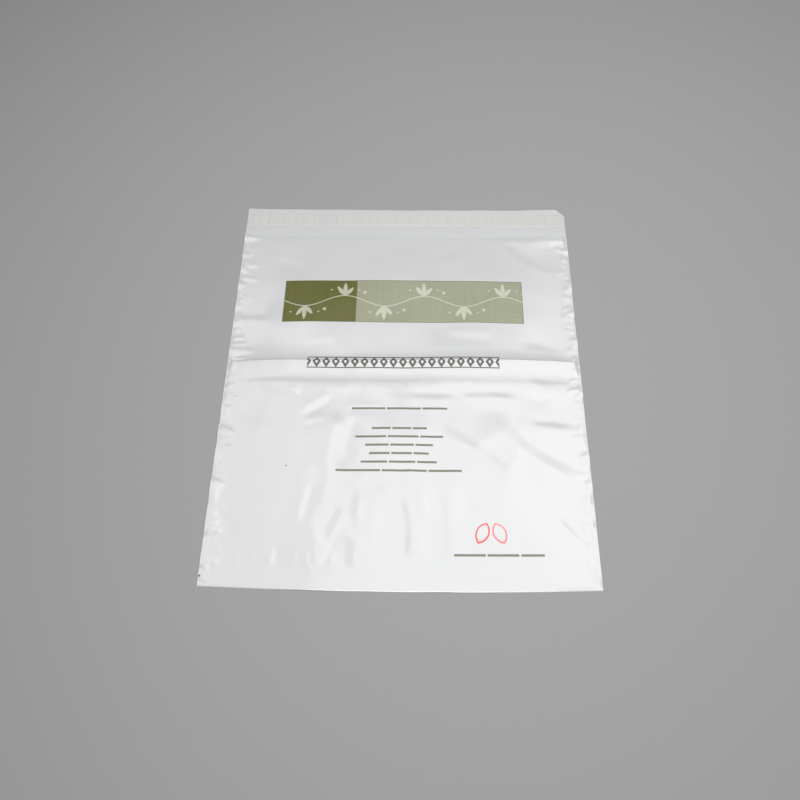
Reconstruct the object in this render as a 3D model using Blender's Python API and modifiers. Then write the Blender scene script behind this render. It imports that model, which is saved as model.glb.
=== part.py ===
"""Poly mailer bag, empty and unsealed, lying on its back panel.

One web of polyethylene film is folded across the bottom and welded along both sides. The back
panel runs on past the mouth as the closing flap, which carries a band of adhesive under a
peel-off release liner. The bag was packed folded, so two creases cross the front panel, and one
corner of the flap is tucked under.

Metres, +Z up. The back lies on z = 0, the flap points to +Y and the origin is under the middle.
"""

import math

import bmesh
import bpy
from mathutils import Matrix, Vector

# Driving dimensions, in metres
BAG_WIDTH = 0.400
BAG_LENGTH = 0.500
FLAP_LENGTH = 0.044
FILM_THICKNESS = 0.00006

# Where the front panel is turned into the back: the bottom fold and the two side welds
SEAM_RISE = 0.0004
SEAM_BULGE = 0.00015

# Swell of the front panel, which starts at the seams and dies out at the mouth
SWELL_HEIGHT = 0.0026
SWELL_REACH = 0.090
MOUTH_GAP = 0.0004
MOUTH_REACH = 0.120
RIPPLE_HEIGHT = 0.0006
RIPPLE_LENGTH_X = 0.135
RIPPLE_LENGTH_Y = 0.115

# Creases left by the folded pack: distance from the bottom fold, crest height, foot width
PACK_CREASES = ((0.266, 0.0024, 0.012), (0.240, 0.0016, 0.009))

# Flap corner that is tucked under along a diagonal
TUCK_SIZE = 0.010
TUCK_RISE = 0.0004
TUCK_RAMP = 0.013

# Closure band across the flap
BAND_WIDTH = 0.020
BAND_LENGTH = 0.396
BAND_TO_FLAP_EDGE = 0.0085
ADHESIVE_THICKNESS = 0.00008
LINER_THICKNESS = 0.00005
LINER_PLEAT_HEIGHT = 0.0004
LINER_PLEATS = 44
LAYER_GAP = 0.0003

# Mesh density
POCKET_COLUMNS = 18
POCKET_ROWS = 20
FLAP_ROWS = 2
ADHESIVE_COLUMNS = 40
STEPS_PER_PLEAT = 4
MERGE_DISTANCE = 0.000001

# Places that follow from the sizes above
HALF_WIDTH = BAG_WIDTH / 2
BOTTOM_Y = -BAG_LENGTH / 2
TOP_Y = BAG_LENGTH / 2
MOUTH_Y = TOP_Y - FLAP_LENGTH
BACK_Z = FILM_THICKNESS / 2
BAND_Y = TOP_Y - BAND_TO_FLAP_EDGE - BAND_WIDTH / 2
ADHESIVE_Z = FILM_THICKNESS + LAYER_GAP + ADHESIVE_THICKNESS / 2
LINER_Z = ADHESIVE_Z + ADHESIVE_THICKNESS / 2 + LAYER_GAP + LINER_THICKNESS / 2
TUCK_NORMAL = Vector((1.0, 1.0, 0.0)).normalized()
TUCK_POINT = Vector((HALF_WIDTH, TOP_Y - TUCK_SIZE, 0.0))


def clear_scene():
    """Remove every object that the file opened with."""
    for item in list(bpy.data.objects):
        bpy.data.objects.remove(item, do_unlink=True)


def make_material(name, colour, roughness, metallic=0.0):
    """Return a plain Principled material."""
    material = bpy.data.materials.new(name)
    material.use_nodes = True
    shader = material.node_tree.nodes["Principled BSDF"]
    shader.inputs["Base Color"].default_value = (*colour, 1.0)
    shader.inputs["Roughness"].default_value = roughness
    shader.inputs["Metallic"].default_value = metallic
    return material


def smooth_rise(distance, reach):
    """Rise smoothly from 0 at distance 0 to 1 at reach."""
    t = max(0.0, min(1.0, distance / reach))
    return t * t * (3.0 - 2.0 * t)


def crease_height(y):
    """Height that the pack's creases add to the front panel at y."""
    return sum(
        height * max(0.0, 1.0 - abs(y - (BOTTOM_Y + place)) / foot)
        for place, height, foot in PACK_CREASES
    )


def front_height(x, y):
    """Height of the front panel's middle surface above the back panel's."""
    from_side = HALF_WIDTH - abs(x)
    from_bottom = y - BOTTOM_Y
    from_mouth = MOUTH_Y - y
    swell = smooth_rise(from_side, SWELL_REACH) * smooth_rise(from_bottom, SWELL_REACH)
    closing = smooth_rise(from_mouth, MOUTH_REACH)
    ripple = math.cos(math.tau * x / RIPPLE_LENGTH_X) * math.sin(math.tau * y / RIPPLE_LENGTH_Y)
    raised = SWELL_HEIGHT * swell * closing + RIPPLE_HEIGHT * ripple * swell * closing
    creased = crease_height(y) * smooth_rise(from_side, SWELL_REACH / 3)
    return SEAM_RISE + MOUTH_GAP * smooth_rise(from_side, SWELL_REACH) + raised + creased


def tuck_depth(point):
    """Distance from the tucked corner's fold line back into the flap, negative beyond it."""
    return (TUCK_POINT - point).dot(TUCK_NORMAL)


def tuck_lift(point):
    """Height that the layer tucked under the corner gives whatever lies over it."""
    return TUCK_RISE * max(0.0, min(1.0, 1.0 - tuck_depth(point) / TUCK_RAMP))


def add_panel(mesh, columns, rows, low_y, high_y):
    """Add a flat grid across the bag from low_y to high_y, at the back panel's height."""
    place = Matrix.Translation((0.0, (low_y + high_y) / 2, BACK_Z))
    shape = Matrix.Diagonal((HALF_WIDTH, (high_y - low_y) / 2, 1.0, 1.0))
    bmesh.ops.create_grid(mesh, x_segments=columns, y_segments=rows, size=1.0, matrix=place @ shape)


def cut_line(mesh, point, normal):
    """Cut the whole sheet along a plane, so that a line of vertices lies on it."""
    bmesh.ops.bisect_plane(
        mesh,
        geom=[*mesh.verts, *mesh.edges, *mesh.faces],
        dist=MERGE_DISTANCE,
        plane_co=point,
        plane_no=normal,
    )


def add_flap(mesh):
    """Add the flap, with its right-hand corner folded under along a diagonal."""
    add_panel(mesh, POCKET_COLUMNS, FLAP_ROWS, MOUTH_Y, TOP_Y)
    for depth in (TUCK_RAMP, 0.0, -TUCK_RISE):
        cut_line(mesh, TUCK_POINT - TUCK_NORMAL * depth, TUCK_NORMAL)
    for vertex in mesh.verts:
        depth = tuck_depth(vertex.co)
        if depth < -TUCK_RISE / 2:
            vertex.co += TUCK_NORMAL * 2.0 * (depth + TUCK_RISE / 2)
        else:
            vertex.co.z += tuck_lift(vertex.co)


def add_pocket_back(mesh):
    """Add the pocket's back panel, with vertices on each crease's crest and on its two feet."""
    add_panel(mesh, POCKET_COLUMNS, POCKET_ROWS, BOTTOM_Y, MOUTH_Y)
    along_bag = Vector((0.0, 1.0, 0.0))
    for place, _, foot in PACK_CREASES:
        for offset in (-foot, 0.0, foot):
            cut_line(mesh, along_bag * (BOTTOM_Y + place + offset), along_bag)


def is_seam_edge(edge):
    """Tell whether a back panel's edge lies on a side weld or on the bottom fold."""
    middle = (edge.verts[0].co + edge.verts[1].co) / 2
    on_side = abs(abs(middle.x) - HALF_WIDTH) < MERGE_DISTANCE and middle.y < MOUTH_Y
    on_bottom = abs(middle.y - BOTTOM_Y) < MERGE_DISTANCE
    return on_side or on_bottom


def add_pocket_front(mesh):
    """Copy the pocket's back panel, and shape the copy into the front panel over it."""
    faces = [face for face in mesh.faces if face.calc_center_median().y < MOUTH_Y]
    copy = bmesh.ops.duplicate(mesh, geom=faces)
    for item in copy["geom"]:
        if isinstance(item, bmesh.types.BMVert):
            item.co.z += front_height(item.co.x, item.co.y)


def is_level(item):
    """Tell whether an item is an edge with both ends at one height."""
    if not isinstance(item, bmesh.types.BMEdge):
        return False
    return abs(item.verts[0].co.z - item.verts[1].co.z) < MERGE_DISTANCE


def seam_outward(point):
    """Direction in which the seam's bend bulges at a point on the bag's outline."""
    side = math.copysign(1.0, point.x) if abs(point.x) > HALF_WIDTH - SEAM_BULGE / 2 else 0.0
    bottom = -1.0 if point.y < BOTTOM_Y + SEAM_BULGE / 2 else 0.0
    return Vector((side, bottom, 0.0))


def turn_seams(mesh, seams):
    """Turn the film up along the welds and the bottom fold, in two steps that round the bend."""
    for bulge in (SEAM_BULGE, -SEAM_BULGE):
        grown = bmesh.ops.extrude_edge_only(mesh, edges=seams)["geom"]
        seams = [item for item in grown if is_level(item)]
        for vertex in [item for item in grown if isinstance(item, bmesh.types.BMVert)]:
            vertex.co += seam_outward(vertex.co) * bulge + Vector((0.0, 0.0, SEAM_RISE / 2))


def finish_sheet(name, mesh, thickness, material, collection):
    """Make an object of an open surface and give it the film's thickness on both sides."""
    data = bpy.data.meshes.new(name)
    mesh.to_mesh(data)
    mesh.free()
    data.materials.append(material)
    sheet = bpy.data.objects.new(name, data)
    collection.objects.link(sheet)
    solidify = sheet.modifiers.new("film_thickness", "SOLIDIFY")
    solidify.thickness = thickness
    solidify.offset = 0.0
    solidify.use_even_offset = True
    return sheet


def build_bag_film(collection):
    """Build the folded and welded web: back panel, front panel and flap in one sheet."""
    mesh = bmesh.new()
    add_flap(mesh)
    add_pocket_back(mesh)
    seams = [edge for edge in mesh.edges if is_seam_edge(edge)]
    add_pocket_front(mesh)
    turn_seams(mesh, seams)
    bmesh.ops.remove_doubles(mesh, verts=mesh.verts, dist=MERGE_DISTANCE)
    bmesh.ops.recalc_face_normals(mesh, faces=mesh.faces)
    film = make_material("white_film", (0.90, 0.91, 0.92), 0.22)
    return finish_sheet("bag_film", mesh, FILM_THICKNESS, film, collection)


def add_band(mesh, columns, height):
    """Add a grid the size of the closure band at a height over the flap."""
    place = Matrix.Translation((0.0, BAND_Y, height))
    shape = Matrix.Diagonal((BAND_LENGTH / 2, BAND_WIDTH / 2, 1.0, 1.0))
    bmesh.ops.create_grid(mesh, x_segments=columns, y_segments=2, size=1.0, matrix=place @ shape)
    for vertex in mesh.verts:
        vertex.co.z += tuck_lift(Vector((vertex.co.x, vertex.co.y, 0.0)))


def build_adhesive_strip(collection):
    """Build the band of pressure-sensitive adhesive on the flap."""
    mesh = bmesh.new()
    add_band(mesh, ADHESIVE_COLUMNS, ADHESIVE_Z)
    adhesive = make_material("clear_adhesive", (0.86, 0.84, 0.76), 0.35)
    return finish_sheet("adhesive_strip", mesh, ADHESIVE_THICKNESS, adhesive, collection)


def build_release_liner(collection):
    """Build the peel-off liner, which stands up in small pleats across its length."""
    mesh = bmesh.new()
    add_band(mesh, LINER_PLEATS * STEPS_PER_PLEAT, LINER_Z)
    pleat = BAND_LENGTH / LINER_PLEATS
    for vertex in mesh.verts:
        vertex.co.z += LINER_PLEAT_HEIGHT * (1.0 - math.cos(math.tau * vertex.co.x / pleat)) / 2
    liner = make_material("cream_liner", (0.90, 0.89, 0.84), 0.40)
    return finish_sheet("release_liner", mesh, LINER_THICKNESS, liner, collection)


def main():
    """Build the bag's three pieces in their collection."""
    clear_scene()
    collection = bpy.data.collections.new("poly_mailer_bag")
    bpy.context.scene.collection.children.link(collection)
    build_bag_film(collection)
    build_adhesive_strip(collection)
    build_release_liner(collection)


main()
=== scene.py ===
"""Looks of an empty poly mailer bag that lies on its back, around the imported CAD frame.

The bag is one web of white film: back panel, front panel and closing flap. The front panel carries
the pack's creases, the puckers that the hot side welds pull into the film, and printed fields of
colour. A band of adhesive under a rippled release liner crosses the flap.

Metres, +Z up, flap to +Y.
"""

import logging
import math
from collections.abc import Sequence
from dataclasses import dataclass, field
from enum import Enum
from typing import Any

import bmesh
import bpy
import numpy as np
from mathutils import Matrix, Vector


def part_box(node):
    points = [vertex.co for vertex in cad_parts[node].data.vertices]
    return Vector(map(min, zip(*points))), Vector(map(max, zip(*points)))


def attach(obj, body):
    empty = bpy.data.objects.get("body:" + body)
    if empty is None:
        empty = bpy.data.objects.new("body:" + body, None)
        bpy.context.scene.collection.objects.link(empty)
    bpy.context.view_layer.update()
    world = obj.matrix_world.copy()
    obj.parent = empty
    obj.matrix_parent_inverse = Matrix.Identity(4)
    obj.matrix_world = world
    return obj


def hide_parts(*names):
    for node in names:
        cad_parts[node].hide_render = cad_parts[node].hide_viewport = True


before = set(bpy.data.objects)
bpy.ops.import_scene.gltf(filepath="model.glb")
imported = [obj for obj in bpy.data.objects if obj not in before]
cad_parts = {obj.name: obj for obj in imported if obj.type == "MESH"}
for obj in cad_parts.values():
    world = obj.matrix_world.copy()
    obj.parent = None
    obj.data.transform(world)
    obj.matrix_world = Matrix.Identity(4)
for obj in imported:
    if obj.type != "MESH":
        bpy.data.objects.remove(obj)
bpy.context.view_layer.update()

log = logging.getLogger("poly_mailer_bag")

Colour = tuple[float, float, float]
Pair = tuple[float, float]
Triple = tuple[float, float, float]
Array = np.ndarray
Settings = dict[Any, Any] | None
Socket = bpy.types.NodeSocket
Material = bpy.types.Material
Mesh = bpy.types.Mesh
Piece = bpy.types.Object

FILM_NODE = "bag_film"
ADHESIVE_NODE = "adhesive_strip"
LINER_NODE = "release_liner"
BODY = "root"
BAND_TO_MOUTH = 0.0155
FILM_GAUGE = 0.00006
CENTIMETRE = 0.01
MILLIMETRE = 0.001


# ---------------------------------------------------------------- shader maths


class Value:
    """A float socket that turns Python arithmetic into Math nodes."""

    def __init__(self, graph: "NodeTree", socket: Socket) -> None:
        """Wrap a socket of a node tree."""
        self.graph = graph
        self.socket = socket

    def _math(self, operation: str, *inputs: Any, clamp: bool = False) -> "Value":
        """Add one Math node on the given inputs."""
        return self.graph.value("ShaderNodeMath", {"operation": operation, "use_clamp": clamp}, inputs)

    def __add__(self, other: Any) -> "Value":
        """Return self + other."""
        return self._math("ADD", self, other)

    __radd__ = __add__

    def __sub__(self, other: Any) -> "Value":
        """Return self - other."""
        return self._math("SUBTRACT", self, other)

    def __rsub__(self, other: Any) -> "Value":
        """Return other - self."""
        return self._math("SUBTRACT", other, self)

    def __mul__(self, other: Any) -> "Value":
        """Return self * other."""
        return self._math("MULTIPLY", self, other)

    __rmul__ = __mul__

    def __truediv__(self, other: Any) -> "Value":
        """Return self / other."""
        return self._math("DIVIDE", self, other)

    def __abs__(self) -> "Value":
        """Return the absolute value."""
        return self._math("ABSOLUTE", self)

    def power(self, exponent: float) -> "Value":
        """Return self to a power."""
        return self._math("POWER", self, exponent)

    def root(self) -> "Value":
        """Return the square root."""
        return self._math("SQRT", self)

    def sine(self) -> "Value":
        """Return the sine."""
        return self._math("SINE", self)

    def swung(self, length: float) -> "Value":
        """Return the value swung back and forth between 0 and a length."""
        return self._math("PINGPONG", self, length)

    def low(self, other: Any) -> "Value":
        """Return the smaller of two values."""
        return self._math("MINIMUM", self, other)

    def high(self, other: Any) -> "Value":
        """Return the larger of two values."""
        return self._math("MAXIMUM", self, other)

    def clamp(self) -> "Value":
        """Return the value limited to 0 to 1."""
        return self._math("ADD", self, 0.0, clamp=True)

    def step(self, edge: float, soft: float) -> "Value":
        """Return 0 below edge and 1 above it, with a soft change of the given width."""
        return ((self - (edge - soft / 2)) / soft).clamp()

    def below(self, edge: float, soft: float) -> "Value":
        """Return 1 below edge and 0 above it, with a soft change of the given width."""
        return ((edge + soft / 2 - self) / soft).clamp()


class NodeTree:
    """A node tree under construction, with one method that adds any node."""

    def __init__(self, tree: bpy.types.NodeTree) -> None:
        """Build in a tree."""
        self.tree = tree

    def node(self, kind: str, settings: Settings = None, inputs: Any = ()) -> bpy.types.Node:
        """Add a node.

        Args:
            kind: The node's type.
            settings: Its properties, set before its sockets.
            inputs: Values or links, as a sequence by place or a mapping by socket name.

        Returns:
            The new node.
        """
        made = self.tree.nodes.new(kind)
        for key, value in (settings or {}).items():
            setattr(made, key, value)
        pairs = inputs.items() if isinstance(inputs, dict) else enumerate(inputs)
        for key, value in pairs:
            self.connect(made.inputs[key], value)
        return made

    def connect(self, socket: Socket, value: Any) -> None:
        """Link a Value or a socket to a socket, or set a plain value on it."""
        if isinstance(value, Value):
            value = value.socket
        if isinstance(value, Socket):
            self.tree.links.new(value, socket)
        elif isinstance(value, tuple) and len(value) == 3 and socket.type == "RGBA":
            socket.default_value = (*value, 1.0)
        else:
            socket.default_value = value

    def value(self, kind: str, settings: Settings = None, inputs: Any = ()) -> Value:
        """Add a node and return its first output."""
        return Value(self, self.node(kind, settings, inputs).outputs[0])


class Graph(NodeTree):
    """A material's node tree."""

    def __init__(self, name: str) -> None:
        """Make an empty material of that name."""
        self.material = bpy.data.materials.new(name)
        self.material.use_nodes = True
        super().__init__(self.material.node_tree)
        self.tree.nodes.clear()

    def mix(self, factor: Any, first: Any, second: Any) -> Socket:
        """Return a colour between two colours.

        Args:
            factor: 0 for the first colour, 1 for the second.
            first: A colour or a colour socket.
            second: A colour or a colour socket.

        Returns:
            The mixed colour's socket.
        """
        made = self.node("ShaderNodeMix", {"data_type": "RGBA"})
        self.connect(made.inputs["Factor"], factor)
        self.connect(made.inputs[6], first)
        self.connect(made.inputs[7], second)
        return made.outputs[2]

    def noise(self, place: Any, scale: float, detail: float = 2.0, roughness: float = 0.5) -> Value:
        """Return a noise value around 0.5."""
        inputs = {"Vector": place, "Scale": scale, "Detail": detail, "Roughness": roughness}
        return self.value("ShaderNodeTexNoise", None, inputs)

    def place(self) -> Socket:
        """Return the object coordinates, in metres."""
        return self.node("ShaderNodeTexCoord").outputs["Object"]

    def flat_place(self, layer: str) -> tuple[Value, Value]:
        """Return the two coordinates of a UV map, in metres on the flat film."""
        picked = self.node("ShaderNodeUVMap", {"uv_map": layer}).outputs[0]
        split = self.node("ShaderNodeSeparateXYZ", None, (picked,))
        return Value(self, split.outputs[0]), Value(self, split.outputs[1])

    def stretched(self, place: Socket, scale: Triple) -> Socket:
        """Return a place scaled unevenly along the three axes."""
        return self.node("ShaderNodeMapping", None, {"Vector": place, "Scale": scale}).outputs[0]

    def bump(self, height: Value, distance: float, strength: float = 1.0) -> Socket:
        """Return a normal bumped by a height."""
        inputs = {"Height": height, "Distance": distance, "Strength": strength}
        return self.node("ShaderNodeBump", None, inputs).outputs[0]

    def finish(self, **sockets: Any) -> Material:
        """Add the Principled shader and the output.

        Args:
            **sockets: The shader's sockets, with underscores for the spaces in their names.

        Returns:
            The finished material.
        """
        named = {key.replace("_", " "): value for key, value in sockets.items()}
        shader = self.node("ShaderNodeBsdfPrincipled", None, named)
        self.node("ShaderNodeOutputMaterial", None, (shader.outputs[0],))
        return self.material


# ---------------------------------------------------------------- finishes


def scaled(colour: Colour, share: float) -> Colour:
    """Return a colour made darker or lighter."""
    return tuple(part * share for part in colour)


@dataclass(frozen=True)
class Inks:
    """Colours that the front panel is printed in."""

    olive: Colour = (0.082, 0.085, 0.002)
    sage: Colour = (0.275, 0.285, 0.190)
    pale: Colour = (0.600, 0.610, 0.500)
    text_olive: Colour = (0.016, 0.021, 0.002)
    grey_olive: Colour = (0.120, 0.120, 0.065)
    coral: Colour = (0.780, 0.022, 0.015)
    pink: Colour = (0.800, 0.150, 0.150)
    black: Colour = (0.020, 0.020, 0.020)


@dataclass(frozen=True)
class Print:
    """Layout of the generic print, in metres from the middle of the bag's outline.

    Every part is a field of colour or a simple shape: a two-tone banner with a row of leaves, a row
    of lozenges for a heading, plain rules for lines of text, and two outlined drops.
    """

    inks: Inks = Inks()
    edge: float = 0.35 * MILLIMETRE
    banner_x: Pair = (-0.1430, 0.1405)
    banner_y: Pair = (0.0710, 0.1332)
    banner_split: float = -0.0565
    banner_rim: float = 0.0006
    stem_wave: float = 0.094
    stem_swing: float = 0.0075
    stem_half: float = 0.0007
    first_sprig: float = -0.1175
    sprig_count: int = 6
    heading_y: float = 0.0140
    heading_half: float = 0.1090
    heading_pitch: float = 0.0109
    heading_height: float = 0.0156
    lead_rule: Triple = (-0.0030, -0.0460, 0.0526)
    rules_middle: float = -0.0028
    rules_top: float = -0.0710
    rules_pitch: float = 0.0102
    rule_height: float = 0.0025
    rule_gap: float = 0.0018
    gap_shares: Pair = (-0.28, 0.46)
    rule_halves: tuple[float, ...] = (0.0300, 0.0475, 0.0365, 0.0320, 0.0405, 0.0668)
    drop_centre: Pair = (0.0925, -0.1905)
    drop_radius: float = 0.0108
    drop_apart: float = 0.0190
    foot_rule: Triple = (0.1000, -0.2130, 0.0455)

    def box(self, x: Value, y: Value, wide: Pair, tall: Pair, inset: float = 0.0) -> Value:
        """Return 1 inside a rectangle given by its span across and its span along the film."""
        across = abs(x - sum(wide) / 2).below((wide[1] - wide[0]) / 2 - inset, self.edge)
        along = abs(y - sum(tall) / 2).below((tall[1] - tall[0]) / 2 - inset, self.edge)
        return across * along

    def leaf(self, x: Value, y: Value, root: Pair, length: float, width: float, turn: float) -> Value:
        """Return 1 inside a pointed leaf.

        Args:
            x: Coordinate across the film.
            y: Coordinate along the film.
            root: Where the leaf starts.
            length: From the root to the tip.
            width: At the middle.
            turn: Angle from the film's +Y, in degrees, positive to the left.

        Returns:
            The leaf's mask.
        """
        angle = math.radians(turn)
        middle = (root[0] - math.sin(angle) * length / 2, root[1] + math.cos(angle) * length / 2)
        across = (x - middle[0]) * math.cos(angle) + (y - middle[1]) * math.sin(angle)
        along = (y - middle[1]) * math.cos(angle) - (x - middle[0]) * math.sin(angle)
        radius = (length ** 2 / 4 + width ** 2 / 4) / width
        offset = radius - width / 2
        reach = ((abs(across) + offset).power(2.0) + along * along).root()
        return reach.below(radius, self.edge)

    def dot(self, x: Value, y: Value, centre: Pair, radius: float) -> Value:
        """Return 1 inside a circle."""
        dx = x - centre[0]
        dy = y - centre[1]
        return (dx * dx + dy * dy).root().below(radius, self.edge)

    def banner_colour(self, graph: Graph, x: Value, y: Value) -> Socket:
        """Return the banner's colour: two inks in fine threads, with a row of pale leaves."""
        place = graph.place()
        threads = graph.noise(graph.stretched(place, (12.0, 900.0, 1.0)), 1.0, 1.0)
        weft = graph.noise(graph.stretched(place, (700.0, 14.0, 1.0)), 1.0, 1.0)
        clouds = graph.noise(place, 9.0, 3.0)
        weave = ((threads - 0.5) * 0.7 + (weft - 0.5) * 0.5 + (clouds - 0.5) * 0.5 + 0.42).clamp()
        olive = graph.mix(weave, scaled(self.inks.olive, 0.78), scaled(self.inks.olive, 1.35))
        sage = graph.mix(weave, scaled(self.inks.sage, 0.84), scaled(self.inks.sage, 1.22))
        colour = graph.mix(x.step(self.banner_split, self.edge), olive, sage)
        colour = graph.mix(self.sprigs(x, y) * 0.62, colour, self.inks.pale)
        inside = self.box(x, y, self.banner_x, self.banner_y, self.banner_rim)
        return graph.mix(inside, self.inks.olive, colour)

    def sprigs(self, x: Value, y: Value) -> Value:
        """Return the mask of the banner's ornament: a wavy stem with leaves on both sides."""
        middle = sum(self.banner_y) / 2
        leaves = ((34.0, 0.0175, 0.0052), (0.0, 0.0205, 0.0050), (-38.0, 0.0160, 0.0052))
        berries = ((0.0235, 0.0125, 0.0021), (0.0165, 0.0165, 0.0012), (-0.0165, 0.0165, 0.0012))
        swing = (x * (math.tau / self.stem_wave)).sine() * self.stem_swing
        mask = abs(y - middle - swing).below(self.stem_half, self.edge)
        for index in range(self.sprig_count):
            place = self.first_sprig + index * self.stem_wave / 2
            stem = middle + self.stem_swing * math.sin(math.tau * place / self.stem_wave)
            upward = 1.0 if index % 2 else -1.0
            for turn, length, width in leaves:
                lean = turn if upward > 0 else 180.0 - turn
                mask = mask.high(self.leaf(x, y, (place, stem), length, width, lean))
            for shift, rise, radius in berries:
                mask = mask.high(self.dot(x, y, (place + shift, middle + upward * rise), radius))
        return mask

    def heading(self, x: Value, y: Value) -> Value:
        """Return the mask of the heading's place: a row of lozenges between two thin rules."""
        half = self.heading_height / 2
        inside = abs(x).below(self.heading_half, self.edge) * abs(y - self.heading_y).below(half, self.edge)
        cell = x.swung(self.heading_pitch / 2)
        reach = cell * (half / (self.heading_pitch / 2)) + abs(y - self.heading_y)
        lozenge = reach.below(half * 0.88, self.edge)
        hollow = reach.below(half * 0.30, self.edge)
        line = 0.0007
        rules = abs(abs(y - self.heading_y) - half + line).below(line, self.edge)
        return inside * (lozenge - hollow).high(rules)

    def rules(self, x: Value, y: Value) -> Value:
        """Return the mask of the plain rules that stand for lines of text."""
        mask = self.rule(x, y, *self.lead_rule)
        for index, half in enumerate(self.rule_halves):
            place = self.rules_top - index * self.rules_pitch
            mask = mask.high(self.rule(x, y, self.rules_middle, place, half))
        return mask

    def rule(self, x: Value, y: Value, middle: float, place: float, half: float) -> Value:
        """Return the mask of one plain bar with two gaps of its own."""
        across = abs(x - middle).below(half, self.edge)
        along = abs(y - place).below(self.rule_height / 2, self.edge)
        first, second = (abs(x - middle - half * share) for share in self.gap_shares)
        gaps = first.low(second).below(self.rule_gap / 2, self.edge)
        return across * along * (1.0 - gaps)

    def drop(self, x: Value, y: Value, side: float) -> Value:
        """Return the mask of one outlined drop, which leans to its own side."""
        centre = (self.drop_centre[0] + side * self.drop_apart / 2, self.drop_centre[1])
        root = (centre[0] + side * 0.004, centre[1] - self.drop_radius)
        outer = self.leaf(x, y, root, 0.0235, 0.0140, side * 24.0)
        inner_root = (root[0] - side * 0.0008, root[1] + 0.0021)
        inner = self.leaf(x, y, inner_root, 0.0195, 0.0108, side * 24.0)
        return (outer - inner).clamp()

    def over(self, graph: Graph, white: Socket, layer: str) -> tuple[Socket, Value]:
        """Print on a colour.

        Args:
            graph: The material's graph.
            white: The bare film's colour.
            layer: The UV map that gives the place on the flat film.

        Returns:
            The printed colour, and the mask of all ink.
        """
        x, y = graph.flat_place(layer)
        wobble = (graph.noise(graph.place(), 900.0, 1.0) - 0.5) * 0.0003
        x, y = x + wobble, y + wobble
        banner = self.box(x, y, self.banner_x, self.banner_y)
        colour = graph.mix(banner * 0.97, white, self.banner_colour(graph, x, y))
        ink = banner
        fields = (
            (self.heading(x, y), self.inks.text_olive),
            (self.rules(x, y), self.inks.grey_olive),
            (self.rule(x, y, *self.foot_rule), self.inks.grey_olive),
            (self.drop(x, y, 1.0), self.inks.pink),
            (self.drop(x, y, -1.0), self.inks.coral),
            (self.dot(x, y, (-0.1993, -0.2395), 0.0011), self.inks.black),
            (self.dot(x, y, (-0.1225, -0.1175), 0.0009), self.inks.grey_olive),
        )
        for mask, shade in fields:
            colour = graph.mix(mask * 0.93, colour, shade)
            ink = ink.high(mask)
        return colour, ink


@dataclass(frozen=True)
class FilmFinish:
    """Glossy white polyethylene film, of which one face may carry the print."""

    name: str
    colour: Colour = (0.546, 0.549, 0.555)
    cloudy: Colour = (0.531, 0.535, 0.541)
    roughness: float = 0.23
    gloss: float = 0.90
    layer: str = "film_flat"
    artwork: Print | None = None

    def make(self) -> Material:
        """Build the film's material."""
        graph = Graph(self.name)
        place = graph.place()
        clouds = graph.noise(place, 14.0, 3.0, 0.55)
        colour = graph.mix(clouds, self.cloudy, self.colour)
        draw_lines = graph.noise(graph.stretched(place, (60.0, 5.0, 5.0)), 1.0, 1.0)
        grain = graph.noise(place, 1400.0, 2.0)
        creep = graph.noise(place, 170.0, 3.0, 0.6)
        handled = graph.noise(place, 22.0, 2.0, 0.5)
        roughness = (handled - 0.5) * 0.08 + (draw_lines - 0.5) * 0.04 + self.roughness
        gloss: Value | float = self.gloss
        if self.artwork is not None:
            colour, ink = self.artwork.over(graph, colour, self.layer)
            roughness = roughness + ink * 0.14
            gloss = self.gloss - ink * self.gloss
        height = (creep - 0.5) * 0.6 + (grain - 0.5) * 0.08
        return graph.finish(
            Base_Color=colour,
            Roughness=roughness.clamp(),
            IOR=1.50,
            Coat_Weight=gloss,
            Coat_Roughness=0.19,
            Coat_IOR=1.50,
            Normal=graph.bump(height, 0.00009),
        )


@dataclass(frozen=True)
class LinerFinish:
    """Thin cream release liner with a dull silicone sheen, and a bluish-grey painted shade on the flanks and
    ends of its ripples.
    """

    name: str = "cream_release_liner"
    colour: Colour = (0.530, 0.527, 0.510)
    shade: Colour = (0.506, 0.503, 0.490)
    # bluish-grey painted shade for the sloping flanks and lifted ends of the ripples
    painted_fold_shade: Colour = (0.485, 0.500, 0.515)

    def make(self) -> Material:
        """Build the liner's material."""
        graph = Graph(self.name)
        place = graph.place()
        fold = Value(graph, graph.node("ShaderNodeAttribute", {"attribute_name": "fold"}).outputs["Fac"])
        mottled = graph.noise(graph.stretched(place, (120.0, 30.0, 30.0)), 1.0, 3.0)
        fine = graph.noise(place, 900.0, 2.0)
        colour = graph.mix((mottled * 2.2 - 0.6).clamp(), self.shade, self.colour)
        # The "fold" attribute marks the ripples' flanks and lifted ends near the band's edges; there a
        # bluish-grey painted shade is mixed into the cream.
        colour = graph.mix(fold * 0.30, colour, self.painted_fold_shade)
        return graph.finish(
            Base_Color=colour,
            Roughness=((fine - 0.5) * 0.15 + 0.40).clamp(),
            IOR=1.45,
            Normal=graph.bump((mottled - 0.5) * 0.6 + (fine - 0.5) * 0.2, 0.0001),
        )


@dataclass(frozen=True)
class LumpyFinish:
    """A shiny melt whose lumps vary its colour, its gloss and its relief."""

    name: str
    colour: Colour
    shade: Colour
    lumps_per_metre: float
    roughness: float
    swing: float
    ior: float

    def make(self) -> Material:
        """Build the melt's material."""
        graph = Graph(self.name)
        lumps = graph.noise(graph.place(), self.lumps_per_metre, 2.0)
        return graph.finish(
            Base_Color=graph.mix(lumps, self.shade, self.colour),
            Roughness=((lumps - 0.5) * self.swing + self.roughness).clamp(),
            IOR=self.ior,
            Normal=graph.bump(lumps, 0.0001),
        )


HOT_MELT = LumpyFinish("yellowish_adhesive", (0.640, 0.600, 0.480), (0.540, 0.500, 0.380),
                       420.0, 0.22, 0.2, 1.49)
MELTED_BEAD = LumpyFinish("melted_film_bead", (0.800, 0.805, 0.810), (0.660, 0.670, 0.690),
                          300.0, 0.30, 0.3, 1.51)


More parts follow.
